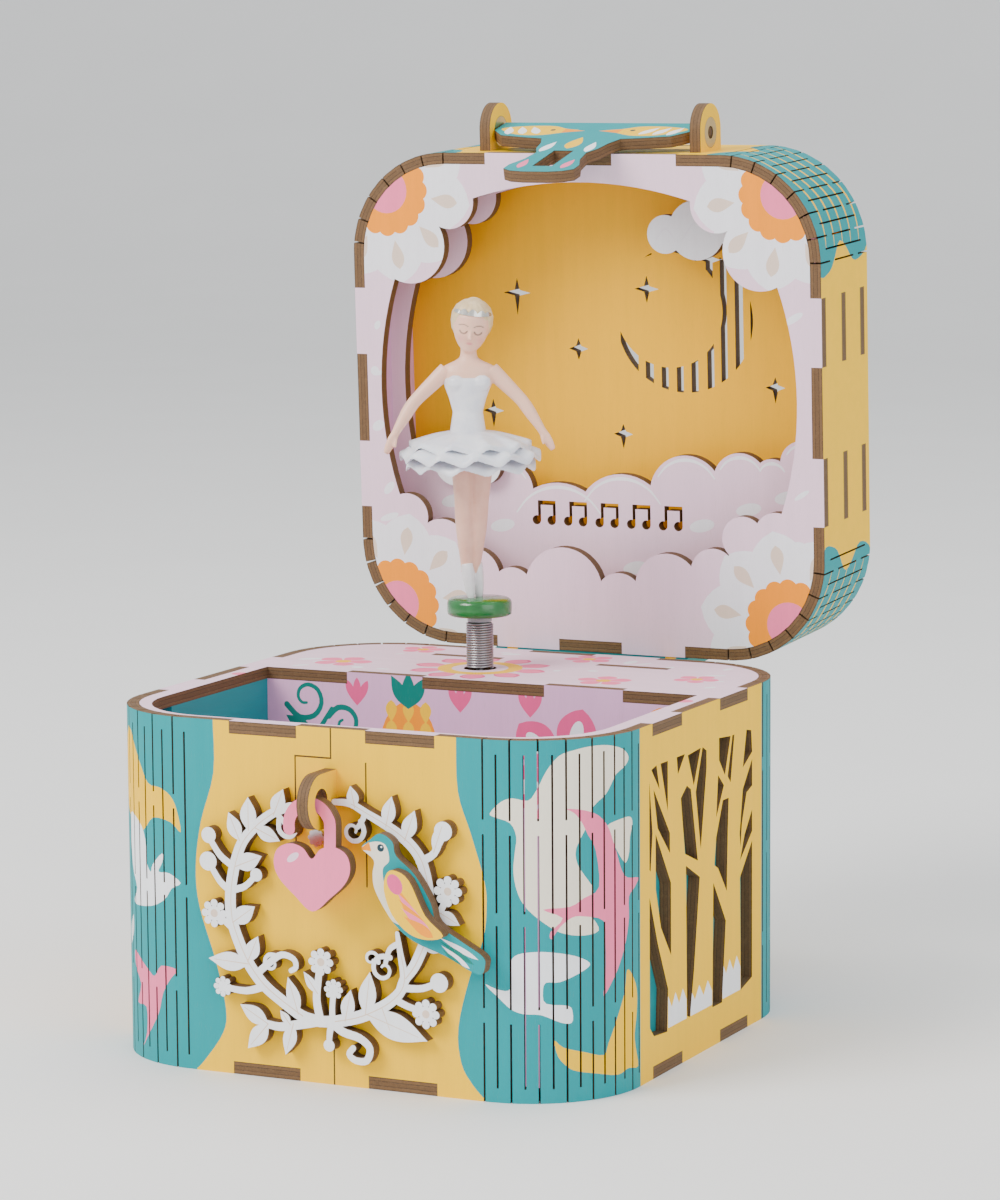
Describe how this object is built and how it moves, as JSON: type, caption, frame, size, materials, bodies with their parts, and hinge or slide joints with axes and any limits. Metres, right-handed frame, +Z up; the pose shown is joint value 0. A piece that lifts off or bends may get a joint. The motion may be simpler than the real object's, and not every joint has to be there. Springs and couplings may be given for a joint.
{
  "type": "ballerina jewellery box",
  "caption": "Laser-cut plywood music box with a bent slit-cornered wall, hinged shadow-box lid, hasp and heart padlock, and a dancer on a coil spring",
  "frame": {"origin": "middle of the underside of the box, on the surface it stands on", "axes": "+X right, +Y to the back (hinge side), +Z up"},
  "size_m": [0.11, 0.1607, 0.1876],
  "materials": {
    "ply_yellow": "printed plywood",
    "ply_teal": "printed plywood",
    "ply_pink": "printed plywood",
    "ply_white": "printed plywood",
    "ply_heart": "printed plywood",
    "ply_gold": "printed plywood",
    "ply_burnt": "laser-cut edge",
    "steel": "plain",
    "brass": "plain",
    "white_plastic": "painted",
    "skin": "painted",
    "green": "painted",
    "hair": "painted",
    "tulle": "sheer"
  },
  "bodies": {
    "base": {"box_wrap": "ply_yellow", "box_floor": "ply_yellow", "box_top_plate": "ply_pink", "partition": "ply_pink", "movement_board": "ply_pink", "liner_left": "ply_teal", "liner_right": "ply_teal", "wreath": "ply_white", "front_flower": "steel", "staple": "ply_yellow", "bird_body": "ply_teal", "bird_wing": "ply_yellow", "box_ear_left": "ply_yellow", "box_ear_right": "ply_yellow", "movement_bed": "steel", "music_comb": "steel", "comb_screws": "brass", "spring_case": "brass", "governor_frame": "steel", "spring_lower": "steel"},
    "lid": {"lid_wrap": "ply_yellow", "lid_rim_panel": "ply_pink", "lid_cloud_panel": "ply_pink", "lid_backdrop": "ply_gold", "lid_cloud_high": "ply_white", "lid_cloud_low": "ply_white", "hasp_ear_left": "ply_yellow", "hasp_ear_right": "ply_yellow", "hinge_leaf": "ply_teal", "lid_knuckle_left": "ply_yellow", "lid_knuckle_right": "ply_yellow", "hinge_pin_left": "steel", "hinge_pin_right": "steel"},
    "hasp_bushes": {"hasp_pivot_left": "brass", "hasp_pivot_right": "brass"},
    "hasp": {"hasp_plate": "ply_teal"},
    "heart": {"heart_padlock": "ply_heart"},
    "drum": {"music_drum": "brass", "turn_shaft": "steel"},
    "key": {"key_shaft": "steel", "winding_key": "brass"},
    "fan": {"governor": "brass"},
    "stem": {"spring_upper": "steel", "figure_stem": "steel"},
    "dancer": {"figure_disc": "green", "figure_shoes": "white_plastic", "figure_legs": "skin", "figure_tutu": "tulle", "figure_bodice": "white_plastic", "figure_skin": "skin", "figure_hair": "hair", "figure_tiara": "steel"}
  },
  "joints": [
    {"name": "lid_hinge", "type": "hinge", "parent": "base", "child": "lid", "pos_m": [0, 0.0598, 0.0628], "axis": [1, 0, 0], "range_deg": [0, 87.4]},
    {"name": "hasp_lean", "type": "hinge", "parent": "lid", "child": "hasp_bushes", "pos_m": [0, 0.07323, 0.18143], "axis": [-1, 0, 0], "range_deg": [0, 40.5]},
    {"name": "hasp_swing", "type": "hinge", "parent": "hasp_bushes", "child": "hasp", "pos_m": [0, 0.07323, 0.18143], "axis": [-1, 0, 0], "range_deg": [0, 150]},
    {"name": "heart_swing", "type": "hinge", "parent": "base", "child": "heart", "pos_m": [0, -0.0605, 0.057], "axis": [-1, 0, 0], "range_deg": [0, 45]},
    {"name": "drum_turn", "type": "hinge", "parent": "base", "child": "drum", "pos_m": [-0.007, 0.0267, 0], "axis": [0, 0, 1], "continuous": true},
    {"name": "key_turn", "type": "hinge", "parent": "base", "child": "key", "pos_m": [-0.015, 0.06, 0.034], "axis": [0, 1, 0], "continuous": true},
    {"name": "fan_turn", "type": "hinge", "parent": "base", "child": "fan", "pos_m": [0.008, 0.0267, 0], "axis": [0, 0, 1], "continuous": true},
    {"name": "spring_fold", "type": "hinge", "parent": "base", "child": "stem", "pos_m": [0, 0.0234, 0.0762], "axis": [1, 0, 0], "range_deg": [0, 102]},
    {"name": "dancer_turn", "type": "hinge", "parent": "stem", "child": "dancer", "pos_m": [-0.007, 0.0267, 0.0818], "axis": [0, 0, 1], "continuous": true}
  ],
  "couplings": [
    {"joint": "hasp_lean", "follows": "lid_hinge", "ratio": 0.45767},
    {"joint": "spring_fold", "follows": "lid_hinge", "ratio": 1.1556},
    {"joint": "dancer_turn", "follows": "drum_turn", "ratio": 1},
    {"joint": "key_turn", "follows": "drum_turn", "ratio": 1},
    {"joint": "fan_turn", "follows": "drum_turn", "ratio": -4}
  ]
}
